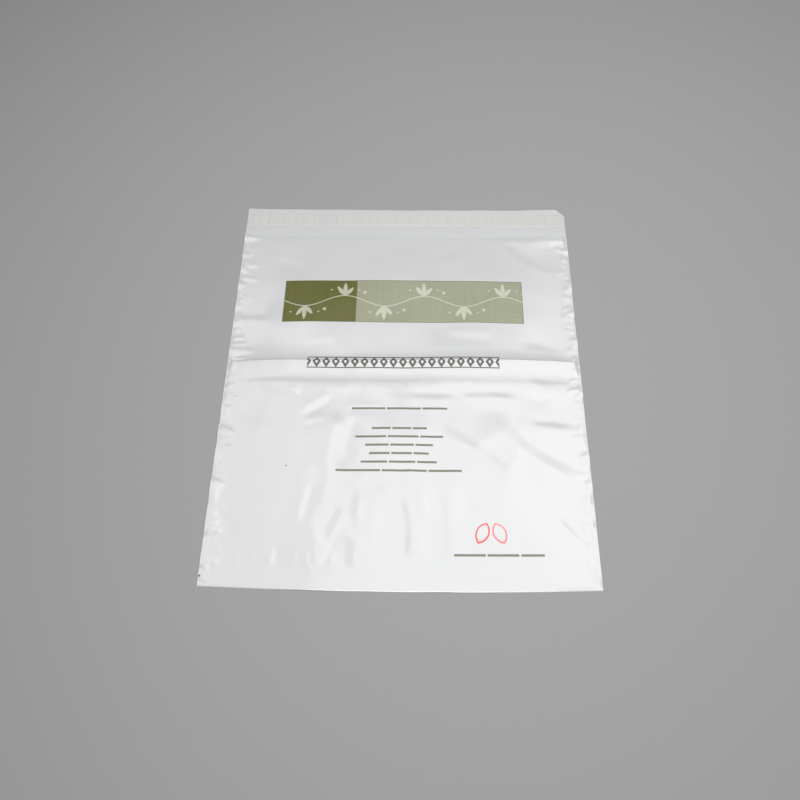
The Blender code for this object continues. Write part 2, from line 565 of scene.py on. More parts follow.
@dataclass(frozen=True)
class FloorFinish:
    """Plain pale surface under the bag."""

    name: str = "plain_pale_floor"
    colour: Colour = (0.292, 0.292, 0.296)

    def make(self) -> Material:
        """Build the floor's material."""
        graph = Graph(self.name)
        soft = graph.noise(graph.place(), 1.5, 2.0)
        colour = graph.mix(soft, scaled(self.colour, 0.985), self.colour)
        return graph.finish(Base_Color=colour, Roughness=0.75)


# ---------------------------------------------------------------- film relief


def smooth(t: Array) -> Array:
    """Rise smoothly from 0 to 1 as t goes from 0 to 1."""
    t = np.clip(t, 0.0, 1.0)
    return t * t * (3.0 - 2.0 * t)


def lattice_noise(x: Array, y: Array, size: Pair, seed: int, octaves: int = 1) -> Array:
    """Return smooth random heights between -1 and 1.

    Args:
        x: Coordinates across.
        y: Coordinates along.
        size: The lattice's pitch across and along.
        seed: Seed of the random lattice.
        octaves: How many ever finer layers are added.

    Returns:
        One height for each point.
    """
    total = np.zeros_like(x)
    weight = 1.0
    reach = 0.0
    for octave in range(octaves):
        values = np.random.default_rng(seed + octave).uniform(-1.0, 1.0, (160, 160))
        u = x / size[0] * 2 ** octave + 80.0
        v = y / size[1] * 2 ** octave + 80.0
        i, j = np.floor(u).astype(int), np.floor(v).astype(int)
        a, b = smooth(u - i), smooth(v - j)
        i, j = i % 159, j % 159
        low = values[i, j] * (1 - a) + values[i + 1, j] * a
        high = values[i, j + 1] * (1 - a) + values[i + 1, j + 1] * a
        total += weight * (low * (1 - b) + high * b)
        reach += weight
        weight *= 0.5
    return total / reach


class Crest(Enum):
    """How a fold's cross-section ends at its crest."""

    ROUND = 2.0
    CRISP = 1.15


@dataclass(frozen=True)
class Track:
    """A bent line on the bag, in centimetres from its middle, that a fold or a facet follows."""

    start: Pair
    end: Pair
    bend: Pair | None = None
    open_start: bool = False

    def points(self) -> Array:
        """Return points along the line, in metres."""
        start = np.array(self.start) * CENTIMETRE
        end = np.array(self.end) * CENTIMETRE
        via = np.array(self.bend) * CENTIMETRE if self.bend else (start + end) / 2
        t = np.linspace(0.0, 1.0, 17 if self.bend else 2)[:, None]
        return start * (1 - t) ** 2 + 2 * via * t * (1 - t) + end * t ** 2

    def trace(self, x: Array, y: Array, reach: float) -> tuple[Array, Array, Array]:
        """Find the points near the line.

        Args:
            x: Coordinates across the bag.
            y: Coordinates along the bag.
            reach: How far from the line matters, in metres.

        Returns:
            The mask of near points, their signed distance (positive to the left of the line's way),
            and the fading along the line.
        """
        path = self.points()
        near = ((x > path[:, 0].min() - reach) & (x < path[:, 0].max() + reach)
                & (y > path[:, 1].min() - reach) & (y < path[:, 1].max() + reach))
        px, py = x[near], y[near]
        best = np.full(px.shape, np.inf)
        along = np.zeros_like(px)
        side = np.ones_like(px)
        for index in range(len(path) - 1):
            a, d = path[index], path[index + 1] - path[index]
            s = np.clip(((px - a[0]) * d[0] + (py - a[1]) * d[1]) / (d @ d), 0.0, 1.0)
            dx, dy = px - a[0] - s * d[0], py - a[1] - s * d[1]
            gap = np.hypot(dx, dy)
            closer = gap < best
            best = np.where(closer, gap, best)
            along = np.where(closer, (index + s) / (len(path) - 1), along)
            side = np.where(closer, np.sign(d[0] * dy - d[1] * dx), side)
        fade = smooth((1.0 - along) / 0.28)
        if not self.open_start:
            fade *= smooth(along / 0.22)
        return near, best * side, fade


@dataclass(frozen=True)
class Fold:
    """One ridge, or a valley where the height is negative; sizes in millimetres."""

    track: Track
    height: float
    left: float
    right: float
    crest: Crest = Crest.ROUND

    def relief(self, x: Array, y: Array) -> Array:
        """Return the height in metres that the fold adds at each point."""
        near, gap, fade = self.track.trace(x, y, 3.2 * max(self.left, self.right) * MILLIMETRE)
        width = np.where(gap > 0, self.left, self.right) * MILLIMETRE
        out = np.zeros_like(x)
        out[near] = self.height * MILLIMETRE * np.exp(-(np.abs(gap) / width) ** self.crest.value) * fade
        return out


@dataclass(frozen=True)
class Facet:
    """A flat band that leans to the left of its track, with film that levels out on both sides."""

    track: Track
    drop: float
    width: float
    recover: float = 16.0
    crest: Crest = Crest.CRISP

    def relief(self, x: Array, y: Array) -> Array:
        """Return the height in metres that the facet adds at each point."""
        half, recover = self.width / 2 * MILLIMETRE, self.recover * MILLIMETRE
        near, gap, fade = self.track.trace(x, y, half + 3.2 * recover)
        reach = np.abs(gap) / half
        outside = np.exp(-np.maximum(reach - 1.0, 0.0) * half / recover)
        inside = np.minimum(reach, 1.0)
        if self.crest is Crest.ROUND:
            inside = np.sin(inside * math.pi / 2)
        out = np.zeros_like(x)
        out[near] = -self.drop / 2 * MILLIMETRE * np.sign(gap) * inside * outside * fade
        return out


DARK_FACETS = (
    Facet(Track((10.2, -4.0), (20.8, -13.0), (12.2, -10.4)), 1.5, 12.5, 16.0),
    Facet(Track((13.4, -6.3), (20.8, -6.6)), 1.1, 9.5, 9.0),
    Facet(Track((15.9, -17.2), (20.0, -21.0)), 0.9, 9.0, 9.0, Crest.ROUND),
    Facet(Track((14.8, -23.9), (20.6, -24.0)), 0.9, 8.0, 6.0, Crest.ROUND),
    Facet(Track((0.2, -2.9), (6.4, -3.1)), 0.9, 9.0, 8.0, Crest.ROUND),
    Facet(Track((6.2, -2.9), (13.2, -3.1), (9.5, -2.6)), 1.1, 10.0, 8.0, Crest.ROUND),
    Facet(Track((4.0, -6.7), (11.6, -12.6), (8.6, -9.0)), 0.55, 9.0, 12.0),
    Facet(Track((4.4, -23.2), (4.0, -13.4), (5.4, -18.5)), 1.0, 11.0, 16.0),
    Facet(Track((0.6, -22.4), (-0.2, -14.4), (1.4, -18.0)), 0.9, 9.0, 12.0, Crest.ROUND),
    Facet(Track((7.4, -22.0), (6.9, -14.0), (8.2, -18.0)), 0.7, 12.0, 14.0, Crest.ROUND),
    Facet(Track((-11.0, -5.0), (-10.9, -1.2)), 0.6, 3.0, 4.0),
    Facet(Track((-7.8, -20.0), (-6.0, -16.2)), 1.3, 7.0, 6.0),
    Facet(Track((-5.0, -22.8), (-4.9, -19.4)), 1.2, 11.0, 8.0),
    Facet(Track((-4.9, -17.8), (-4.4, -14.2)), 1.0, 7.0, 8.0, Crest.ROUND),
    Facet(Track((-19.9, 7.7), (-15.6, 7.5), (-17.4, 8.4), True), 0.9, 11.0, 14.0, Crest.ROUND),
    Facet(Track((11.6, 20.2), (20.2, 14.9), (14.4, 15.6)), 0.9, 16.0, 18.0, Crest.ROUND),
    Facet(Track((13.4, 4.1), (20.0, 3.4)), 0.5, 14.0, 14.0, Crest.ROUND),
    Facet(Track((-18.8, -5.2), (-13.0, -7.4)), 0.6, 14.0, 14.0, Crest.ROUND),
)

BRIGHT_FACETS = (
    Facet(Track((-11.2, -2.9), (-16.6, -2.0)), 1.6, 9.0, 9.0),
    Facet(Track((-7.8, -3.0), (-11.2, -5.4)), 1.6, 9.0, 7.0),
    Facet(Track((-8.4, -6.0), (-10.8, -6.5)), 0.9, 5.0, 5.0),
    Facet(Track((-5.8, -5.2), (-7.0, -13.2), (-7.2, -9.0)), 2.6, 18.0, 16.0),
    Facet(Track((-9.5, -13.6), (-10.4, -18.2)), 1.3, 7.0, 8.0),
    Facet(Track((-6.9, -20.0), (-8.2, -22.8)), 0.9, 6.0, 5.0),
    Facet(Track((2.6, -14.4), (2.2, -22.6), (2.9, -18.0)), 0.9, 9.0),
    Facet(Track((-2.0, -14.6), (-2.4, -22.4), (-2.8, -18.0)), 0.9, 9.0),
    Facet(Track((-7.6, 4.5), (-12.2, 4.0)), 1.0, 9.0, 10.0),
    Facet(Track((-2.0, -4.6), (-6.4, -4.4)), 0.7, 5.0, 6.0),
    Facet(Track((17.8, -2.4), (13.6, -2.9)), 1.0, 9.0, 9.0),
    Facet(Track((10.6, 5.0), (4.6, 5.5)), 0.7, 10.0, 14.0),
)

EDGE_FACETS = (
    Facet(Track((20.1, -16.2), (18.3, -15.8), None, True), 0.8, 6.0, 4.0),
    Facet(Track((20.1, -0.2), (16.8, 0.6), None, True), 0.8, 8.0, 5.0),
    Facet(Track((20.1, -9.0), (18.8, -8.6), None, True), 0.9, 5.0, 4.0),
    Facet(Track((17.4, 20.15), (20.2, 19.9)), 1.4, 5.0, 6.0),
    Facet(Track((-20.1, -6.0), (-17.0, -8.4), None, True), 0.5, 3.0, 4.0),
)


@dataclass(frozen=True)
class Scallop:
    """A stretch of side edge that the weld's shrinking lifted, in centimetres.

    Attributes:
        side: -1 for the left edge, 1 for the right edge.
        place: Middle of the stretch along the bag.
        depth: How far it reaches in from the edge.
        half: Half of its length.
        peak: Where it reaches farthest in, from -1 at its lower end to 1 at its upper end.
        slope: How steeply it rises towards the edge.
    """

    side: float
    place: float
    depth: float
    half: float
    peak: float = 0.0
    slope: float = 0.13

    def lift(self, to_side: Array, x: Array, y: Array) -> Array:
        """Return how far the scallop lifts each point."""
        u = (y / CENTIMETRE - self.place) / self.half
        shape = np.minimum((1.0 - u) / (1.0 - self.peak), (1.0 + u) / (1.0 + self.peak))
        depth = self.depth * CENTIMETRE * np.clip(shape, 0.0, 1.0) ** 0.6
        return np.where(x * self.side > 0, self.slope * np.maximum(depth - to_side, 0.0), 0.0)


SCALLOPS = tuple(Scallop(*sizes) for sizes in (
    (-1.0, -4.6, 1.1, 1.3), (-1.0, -7.5, 2.1, 1.1, -0.2), (-1.0, -10.4, 0.8, 1.3),
    (-1.0, -14.4, 1.9, 1.5, 0.3), (-1.0, -17.9, 2.3, 1.9, -0.6, 0.10), (-1.0, -20.3, 1.0, 0.6),
    (-1.0, -21.9, 2.1, 1.3, -0.5, 0.09), (-1.0, -23.6, 0.8, 0.5), (-1.0, 3.1, 3.4, 1.1, -0.1, 0.05),
    (-1.0, 7.1, 0.9, 0.6), (-1.0, 9.6, 0.8, 0.8), (-1.0, 12.6, 1.0, 0.6, 0.3), (-1.0, 15.2, 0.8, 0.7),
    (-1.0, 17.4, 1.0, 0.6, -0.4), (-1.0, 20.1, 2.4, 0.7, 0.1, 0.08), (1.0, -2.4, 0.9, 0.7, 0.3),
    (1.0, -10.2, 0.8, 0.9), (1.0, -13.4, 1.0, 0.8, -0.4), (1.0, -19.0, 0.8, 0.8),
    (1.0, -23.2, 1.2, 0.8, -0.3, 0.09), (1.0, 4.6, 0.9, 0.8, 0.4), (1.0, 8.8, 1.0, 0.7),
    (1.0, 13.0, 0.8, 0.9, -0.3), (1.0, 18.2, 1.1, 0.6),
))

FINE_FOLDS = (
    Fold(Track((-11.0, -9.2), (-10.4, -14.6)), 0.16, 0.9, 1.3, Crest.CRISP),
    Fold(Track((9.0, -7.7), (12.8, -11.6), (10.6, -9.4)), 0.30, 1.8, 3.5, Crest.CRISP),
    Fold(Track((-18.6, 8.9), (-18.2, 7.2)), 0.18, 1.0, 1.0, Crest.CRISP),
    Fold(Track((5.0, -8.2), (9.0, -9.9)), 0.20, 2.6, 2.6, Crest.CRISP),
    Fold(Track((-3.4, -22.2), (-2.8, -21.0)), -0.35, 1.8, 1.8, Crest.CRISP),
    Fold(Track((-15.2, -10.2), (-12.4, -15.8)), 0.22, 5.0, 5.0),
    Fold(Track((-16.4, 16.4), (-11.0, 14.4)), -0.5, 9.0, 9.0),
    Fold(Track((1.6, 16.4), (8.4, 18.8)), -0.4, 9.0, 9.0),
)

LOW_PUCKERS = (-16.1, -14.6, -12.6, -10.4, -9.1, -8.2, -6.5, -4.4, -2.9, -1.2)
HIGH_PLEATS = (-8.3, -7.4, -6.6, -5.2, -4.1, -2.7, -1.6, 0.3, 2.2)


@dataclass
class FilmRelief:
    """Heights and small shifts that turn flat film into film as it lies."""

    half_width: float
    bottom: float
    mouth: float
    top: float
    film: float
    swell: float = 0.0030
    swell_reach: float = 0.075
    seam_gap: float = 0.00020
    rest_softness: float = 0.00035
    bottom_bow: float = 0.0035
    top_bow: float = 0.0018
    crease_places: Pair = (0.0162, -0.0142)
    crease_tilt: float = 0.0017
    crest_height: float = 0.0026
    lip_height: float = 0.0015
    second_height: float = 0.0010
    rolling_height: float = 0.0019
    crumple_height: float = 0.00052
    edge_wander: float = 0.00035
    pucker_pitch: Pair = (0.006, 0.013)
    pucker_length: Pair = (0.9, 2.5)
    pucker_height: Pair = (0.45, 1.05)
    pucker_width: Pair = (1.5, 3.0)
    seed: int = 11

    def outline(self, x: Array, y: Array) -> tuple[Array, Array]:
        """Return the places shifted so that the edges bow and wander as cut film does."""
        across = 1.0 - (x / self.half_width) ** 2
        low = smooth(1.0 - (y - self.bottom) / 0.12)
        high = smooth(1.0 - (self.top - y) / 0.10)
        near_side = smooth(1.0 - (self.half_width - np.abs(x)) / 0.03)
        wander = lattice_noise(y, np.sign(x) * 0.5, (0.021, 1.0), self.seed + 1, 2) * self.edge_wander
        top_wave = lattice_noise(x, y * 0.0, (0.034, 1.0), self.seed + 2, 2) * 0.0006
        shifted_y = y - self.bottom_bow * across * low - (self.top_bow * across + top_wave) * high
        return x + np.sign(x) * wander * near_side, shifted_y

    def edge_lift(self, x: Array, y: Array) -> Array:
        """Return how far the bag's edges stand off what it lies on."""
        to_side = self.half_width - np.abs(x)
        waves = np.maximum(0.0, lattice_noise(y, np.sign(x) * 0.5, (0.030, 1.0), self.seed + 3, 2))
        bottom_waves = np.maximum(0.0, lattice_noise(x, y * 0.0, (0.045, 1.0), self.seed + 4, 2))
        side = 0.0008 * waves * smooth(1.0 - to_side / 0.022)
        for scallop in SCALLOPS:
            side += scallop.lift(to_side, x, y)
        low = 0.0009 * bottom_waves * smooth(1.0 - (y - self.bottom) / 0.020)
        return side + low

    def back(self, x: Array, y: Array) -> Array:
        """Return the back panel's height, and the flap's beyond the mouth."""
        beyond = smooth((y - self.mouth + 0.012) / 0.03)
        ripple = lattice_noise(x, y, (0.032, 0.030), self.seed + 5, 2)
        free = smooth(1.0 - (self.top - y) / 0.022)
        curl = 0.0008 * free * (0.5 + 0.5 * lattice_noise(x, y * 0.0, (0.028, 1.0), self.seed + 6, 2))
        gathers = 0.00016 * (1.0 + lattice_noise(x, y, (0.0075, 0.045), self.seed + 16, 2))
        return self.film / 2 + self.edge_lift(x, y) + beyond * (0.00025 * (1.0 + ripple) + curl + gathers)

    def creases(self, x: Array, y: Array) -> Array:
        """Return the two creases that the folded pack left across the front panel."""
        high, low = self.crease_places
        wander = 0.0004 * lattice_noise(x, x * 0.0, (0.06, 1.0), self.seed + 7)
        first = y - (high + self.crease_tilt * x / self.half_width) - wander
        second = y - (low + 0.0006 * np.sin(x * 21.0)) + wander
        crest = self.crest_height * np.exp(-np.abs(first) / np.where(first > 0, 0.0058, 0.0130))
        lip = self.lip_height * np.exp(-np.abs(first) / np.where(first > 0, 0.0023, 0.0070))
        soft = self.second_height * np.exp(-(second / np.where(second > 0, 0.0060, 0.0130)) ** 2)
        patchy = 0.75 + 0.35 * lattice_noise(x, y, (0.07, 0.05), self.seed + 8)
        return crest * (0.85 + 0.15 * patchy) + lip + soft * patchy

    def puckers(self) -> list[Fold]:
        """Return the small ridges that the hot welds pulled into the film along both sides."""
        random = np.random.default_rng(self.seed)
        made = []
        for side in (-1.0, 1.0):
            y = self.bottom + 0.008
            while y < self.mouth + 0.004:
                length = random.uniform(*self.pucker_length) * (1.0 if side < 0 else 0.75)
                slant = random.uniform(-0.45, 0.25) * length
                height = random.uniform(*self.pucker_height)
                widths = random.uniform(*self.pucker_width, 2)
                start = (side * self.half_width / CENTIMETRE, y / CENTIMETRE)
                end = (start[0] - side * length, start[1] + slant)
                track = Track(start, end, None, True)
                made.append(Fold(track, height, widths[0], widths[1], Crest.CRISP))
                y += random.uniform(*self.pucker_pitch)
        return made

    def small_pleats(self) -> list[Fold | Facet]:
        """Return the short upright pleats above the bottom fold and under the second crease."""
        random = np.random.default_rng(self.seed + 9)
        made = []
        for x in LOW_PUCKERS:
            low = -22.4 + random.uniform(-0.3, 0.3)
            width = random.uniform(1.5, 2.4)
            top = low + random.uniform(1.2, 2.4)
            made.append(Facet(Track((x, top), (x - 0.2, low)), 0.55, 2.0 * width, 3.0))
        for x in HIGH_PLEATS:
            drop = random.uniform(0.7, 1.2)
            made.append(Fold(Track((x, -1.5), (x + 0.1, -1.5 - drop)), 0.30, 1.6, 1.6))
        return made

    def front(self, x: Array, y: Array) -> Array:
        """Return the front panel's height over the surface that the bag lies on."""
        to_side = self.half_width - np.abs(x)
        to_bottom = y - self.bottom
        to_mouth = self.mouth - y
        open_up = smooth(to_side / self.swell_reach) * smooth(to_bottom / self.swell_reach)
        closing = 0.30 + 0.70 * smooth(to_mouth / 0.15)
        seam = smooth(to_side / 0.004) * smooth(to_bottom / 0.004)
        lower = smooth((0.03 - y) / 0.06)
        relief = self.swell * open_up * closing
        loose = smooth(to_side / 0.03) * smooth(to_bottom / 0.03)
        rolling = lattice_noise(x, y, (0.080, 0.070), self.seed + 12, 2)
        relief += rolling * (self.rolling_height - 0.0012 * lower) * loose
        crumple = 1.0 - 2.0 * np.abs(lattice_noise(x, y, (0.034, 0.050), self.seed + 14, 2))
        relief += self.crumple_height * crumple * loose * (0.30 + 0.70 * lower)
        to_edge = smooth(to_side / 0.006) * (0.40 + 0.60 * smooth(to_side / 0.035))
        relief += self.creases(x, y) * to_edge
        pleats = (*self.small_pleats(), *self.puckers())
        for form in (*DARK_FACETS, *BRIGHT_FACETS, *EDGE_FACETS, *FINE_FOLDS, *pleats):
            relief += form.relief(x, y)
        mouth_lift = 0.0016 * smooth((x - 0.150) / 0.035) * smooth(1.0 - to_mouth / 0.02)
        relief = (relief + np.sqrt(relief ** 2 + self.rest_softness ** 2)) / 2
        relief = relief * (0.10 + 0.90 * smooth(to_mouth / 0.010)) + mouth_lift * smooth(to_side / 0.006)
        gap = self.seam_gap * (0.35 + 0.65 * smooth(to_mouth / 0.006))
        return self.back(x, y) + gap + relief * seam


# ---------------------------------------------------------------- geometry helpers


def apply_modifiers(piece: Piece) -> None:
    """Replace a piece's mesh by the result of its modifiers."""
    evaluated = piece.evaluated_get(bpy.context.evaluated_depsgraph_get())
    result = bpy.data.meshes.new_from_object(evaluated)
    piece.modifiers.clear()
    result.name = piece.name
    piece.data = result


def add_object(name: str, data: Mesh) -> Piece:
    """Link a mesh into the scene as a piece at the origin."""
    piece = bpy.data.objects.new(name, data)
    bpy.context.scene.collection.objects.link(piece)
    return piece


def shade_smooth(data: Mesh) -> None:
    """Smooth the shading of every face, but keep the sheet's cut edges sharp."""
    data.polygons.foreach_set("use_smooth", np.ones(len(data.polygons), bool))
    data.set_sharp_from_angle(angle=math.radians(50.0))


def set_inputs(modifier: bpy.types.Modifier, values: dict[str, Any]) -> None:
    """Set a Geometry Nodes modifier's inputs by the identifiers of its named sockets."""
    for item in modifier.node_group.interface.items_tree:
        if item.item_type == "SOCKET" and item.in_out == "INPUT" and item.name in values:
            modifier[item.identifier] = values[item.name]


class GeometryTree(NodeTree):
    """A Geometry Nodes tree with a geometry input and output."""

    def __init__(self, name: str, inputs: dict[str, str]) -> None:
        """Make the tree, with named inputs of the given socket kinds."""
        super().__init__(bpy.data.node_groups.new(name, "GeometryNodeTree"))
        sockets = {"Geometry": "Geometry", **inputs}
        for label, kind in sockets.items():
            self.tree.interface.new_socket(label, in_out="INPUT", socket_type=f"NodeSocket{kind}")
        self.tree.interface.new_socket("Geometry", in_out="OUTPUT", socket_type="NodeSocketGeometry")
        self.entry = self.node("NodeGroupInput").outputs

    def ramp(self, value: Value, low: float, high: float) -> Value:
        """Return a smooth rise from 0 to 1 as the value goes from low to high."""
        smoothly = {"interpolation_type": "SMOOTHSTEP"}
        return self.value("ShaderNodeMapRange", smoothly, (value, low, high, 0.0, 1.0))

    def close(self, geometry: Value, material: Material) -> bpy.types.NodeTree:
        """End the tree in real geometry that wears a material."""
        real = self.value("GeometryNodeRealizeInstances", None, (geometry,))
        worn = self.value("GeometryNodeSetMaterial", None, {"Geometry": real, "Material": material})
        self.node("NodeGroupOutput", None, (worn,))
        return self.tree


# ---------------------------------------------------------------- the bag


@dataclass
class FilmWeb:
    """The folded web: front panel, bottom fold, back panel and flap in one sheet of film."""

    relief: FilmRelief
    columns: int = 178
    front_rows: int = 204
    back_rows: int = 26
    flap_rows: int = 24
    side_crowding: float = 0.35
    row_crowding: tuple[Triple, ...] = (
        (0.0165, 0.0040, 3.5),
        (-0.0142, 0.0080, 0.8),
        (-0.2480, 0.0060, 1.2),
        (0.2050, 0.0060, 1.0),
    )
    tuck_size: float = 0.0100
    tuck_rise: float = 0.0004
    tuck_ramp: float = 0.0130
    flat_layer: str = "film_flat"
    bake_layer: str = "OFBake"

    def front_places(self) -> Array:
        """Return the front panel's rows, closer together where creases and pleats need them."""
        r = self.relief
        y = np.linspace(r.mouth, r.bottom, 2001)
        density = np.ones_like(y)
        for place, reach, extra in self.row_crowding:
            density += extra * np.exp(-((y - place) / reach) ** 2)
        share = np.concatenate([[0.0], np.cumsum((density[1:] + density[:-1]) / 2)])
        return np.interp(np.linspace(0.0, share[-1], self.front_rows + 1), share, y)

    def flat_rows(self) -> tuple[Array, Array]:
        """Return each row's place along the bag, and whether it is on the front panel."""
        r = self.relief
        front = self.front_places()
        back = np.linspace(r.bottom, r.mouth, self.back_rows + 1)
        flap = np.linspace(r.mouth, r.top, self.flap_rows + 1)[1:]
        places = np.concatenate([front, [r.bottom], back, flap])
        return places, np.arange(len(places)) <= self.front_rows

    def flat_columns(self) -> Array:
        """Return the columns' places across, closer together near the welds."""
        t = np.linspace(-1.0, 1.0, self.columns + 1)
        eased = t * (1.0 - self.side_crowding) + np.sin(t * math.pi / 2) * self.side_crowding
        return eased * self.relief.half_width

    def surface(self) -> tuple[Array, Array]:
        """Return the web's vertices as it lies, and their places on the flat film."""
        rows, on_front = self.flat_rows()
        x, y = np.meshgrid(self.flat_columns(), rows)
        front = np.broadcast_to(on_front[:, None], x.shape)
        z = np.where(front, self.relief.front(x, y), self.relief.back(x, y))
        placed_x, placed_y = self.relief.outline(x, y)
        bend = self.front_rows + 1
        z[bend] = (z[bend - 1] + z[bend + 1]) / 2
        placed_y[bend] -= (z[bend - 1] - z[bend + 1]) / 2
        flat_y = np.where(front, y, 2 * self.relief.bottom - y)
        return np.stack([placed_x, placed_y, z], -1).reshape(-1, 3), np.stack([x, flat_y], -1).reshape(-1, 2)

    def sheet_mesh(self) -> Mesh:
        """Return the open web as a mesh of quads, its outer face out, with the corner tucked."""
        points, flat = self.surface()
        across = self.columns + 1
        down = len(points) // across
        index = np.arange(across * down).reshape(down, across)
        quads = np.stack([index[:-1, :-1], index[1:, :-1], index[1:, 1:], index[:-1, 1:]], -1).reshape(-1, 4)
        data = bpy.data.meshes.new("film_web")
        data.from_pydata(points.tolist(), [], quads.tolist())
        layer = data.uv_layers.new(name=self.flat_layer)
        layer.uv.foreach_set("vector", flat[quads.reshape(-1)].astype(np.float32).reshape(-1))
        on_front = np.arange(len(quads)) // self.columns < self.front_rows
        data.polygons.foreach_set("material_index", np.where(on_front, 0, 1).astype(np.int32))
        self.tuck_corner(data)
        return data

    def tuck_corner(self, data: Mesh) -> None:
        """Fold the flap's right-hand corner under along a diagonal."""
        r = self.relief
        normal = Vector((1.0, 1.0, 0.0)).normalized()
        point = Vector((r.half_width, r.top - self.tuck_size, 0.0))
        mesh = bmesh.new()
        mesh.from_mesh(data)
        near = [f for f in mesh.faces if (point - f.calc_center_median()).dot(normal) < self.tuck_ramp]
        edges = [e for e in mesh.edges if any((point - v.co).dot(normal) < self.tuck_ramp for v in e.verts)]
        corners = [v for v in mesh.verts if (point - v.co).dot(normal) < self.tuck_ramp]
        kinds = (bmesh.types.BMVert, bmesh.types.BMEdge, bmesh.types.BMFace)
        for depth in (0.0, -self.tuck_rise):
            cut = bmesh.ops.bisect_plane(mesh, geom=[*corners, *edges, *near], dist=1e-7,
                                         plane_co=point - normal * depth, plane_no=normal)
            live = [item for item in cut["geom"] if item.is_valid]
            corners, edges, near = ([item for item in live if isinstance(item, kind)] for kind in kinds)
        for vertex in mesh.verts:
            depth = (point - vertex.co).dot(normal)
            if depth < -self.tuck_rise / 2:
                vertex.co += normal * 2.0 * (depth + self.tuck_rise / 2)
                vertex.co.z = self.relief.film
            elif depth < self.tuck_ramp:
                vertex.co.z += self.tuck_rise * (1.0 - max(depth, 0.0) / self.tuck_ramp)
        mesh.to_mesh(data)
        mesh.free()

    def lay_out_bake(self, data: Mesh, sheet_faces: int) -> None:
        """Give the solid film a map for baking, with most of its room for the printed face.

        Args:
            data: The film's mesh after its thickness was added.
            sheet_faces: How many faces the open sheet had.
        """
        r = self.relief
        loops = len(data.loops)
        flat = np.empty(loops * 2, np.float32)
        data.uv_layers[self.flat_layer].uv.foreach_get("vector", flat)
        flat = flat.reshape(-1, 2)
        starts = np.empty(len(data.polygons), np.int32)
        data.polygons.foreach_get("loop_start", starts)
        face = np.searchsorted(starts, np.arange(loops), side="right") - 1
        inner = (face >= sheet_faces) & (face < 2 * sheet_faces)
        rim = face >= 2 * sheet_faces
        slots = np.empty(len(data.polygons), np.int32)
        data.polygons.foreach_get("material_index", slots)
        centre = np.zeros(len(data.polygons))
        np.add.at(centre, face, flat[:, 1])
        totals = np.bincount(face, minlength=len(data.polygons))
        on_back = (centre / totals)[face] < r.bottom
        uv = np.empty_like(flat)
        large, small = 1.92, 0.46
        column = 2 * r.half_width * large + 0.03
        x, y = flat[:, 0] + r.half_width, flat[:, 1]
        uv[:, 0] = 0.01 + x * large
        uv[:, 1] = 0.01 + (y - r.bottom) * large
        tall = (r.top - r.bottom) * small + 0.02
        for order, mask in enumerate((on_back & ~inner, on_back & inner, ~on_back & inner)):
            down = r.bottom - y if order < 2 else y - r.bottom
            uv[:, 0] = np.where(mask, column + x * small, uv[:, 0])
            uv[:, 1] = np.where(mask, 0.01 + order * tall + down * small, uv[:, 1])
        spread = (np.arange(loops) % 4).astype(float)
        uv[:, 0] = np.where(rim, column + x * small, uv[:, 0])
        uv[:, 1] = np.where(rim, 0.01 + 3 * tall + 0.02 * (spread > 1.5), uv[:, 1])
        layer = data.uv_layers.new(name=self.bake_layer)
        layer.uv.foreach_set("vector", uv.astype(np.float32).reshape(-1))

    def build(self, finishes: Sequence[FilmFinish]) -> Piece:
        """Build the film with its thickness.

        Args:
            finishes: Finish of the printed face, of the plain outer face and of the inner face.

        Returns:
            The finished piece.
        """
        data = self.sheet_mesh()
        sheet_faces = len(data.polygons)
        piece = add_object("film_web", data)
        printed, outer, inner = (finish.make() for finish in finishes)
        for material in (printed, outer, inner, inner):
            data.materials.append(material)
        solid = piece.modifiers.new("film_gauge", "SOLIDIFY")
        solid.thickness = self.relief.film
        solid.offset = 0.0
        solid.material_offset = 2
        solid.material_offset_rim = 1
        apply_modifiers(piece)
        self.lay_out_bake(piece.data, sheet_faces)
        shade_smooth(piece.data)
        return piece


@dataclass
class WeldBead:
    """The melted bead along one side of the pocket."""

    relief: FilmRelief
    side: float
    name: str
    radius: float = 0.00020
    points: int = 220

    def path_mesh(self) -> Mesh:
        """Return the weld's line as a mesh of edges."""
        y = np.linspace(self.relief.bottom, self.relief.mouth, self.points)
        x = np.full_like(y, self.side * self.relief.half_width)
        z = (self.relief.front(x, y) + self.relief.back(x, y)) / 2
        x, y = self.relief.outline(x, y)
        data = bpy.data.meshes.new(self.name)
        data.from_pydata(np.stack([x, y, z], -1).tolist(), [(i, i + 1) for i in range(self.points - 1)], [])
        return data

    def tree(self, material: Material) -> bpy.types.NodeTree:
        """Return the nodes that lay a lumpy bead along the line."""
        made = GeometryTree(f"{self.name}_nodes", {"Radius": "Float", "Sides": "Int", "Lumps": "Float"})
        entry = made.entry
        ring = made.value("GeometryNodeCurvePrimitiveCircle", None,
                          {"Resolution": entry["Sides"], "Radius": entry["Radius"]})
        thick = made.value("ShaderNodeTexNoise", None, {"Scale": entry["Lumps"], "Detail": 1.0}) + 0.5
        curve = made.value("GeometryNodeMeshToCurve", None, {"Mesh": entry["Geometry"]})
        bead = made.node("GeometryNodeCurveToMesh", None,
                         {"Curve": curve, "Profile Curve": ring, "Scale": thick, "Fill Caps": True})
        return made.close(bead.outputs[0], material)

    def build(self, finish: LumpyFinish) -> Piece:
        """Build the bead."""
        piece = add_object(self.name, self.path_mesh())
        material = finish.make()
        piece.data.materials.append(material)
        nodes = piece.modifiers.new("bead", "NODES")
        nodes.node_group = self.tree(material)
        set_inputs(nodes, {"Radius": self.radius, "Sides": 6, "Lumps": 240.0})
        apply_modifiers(piece)
        shade_smooth(piece.data)
        return piece


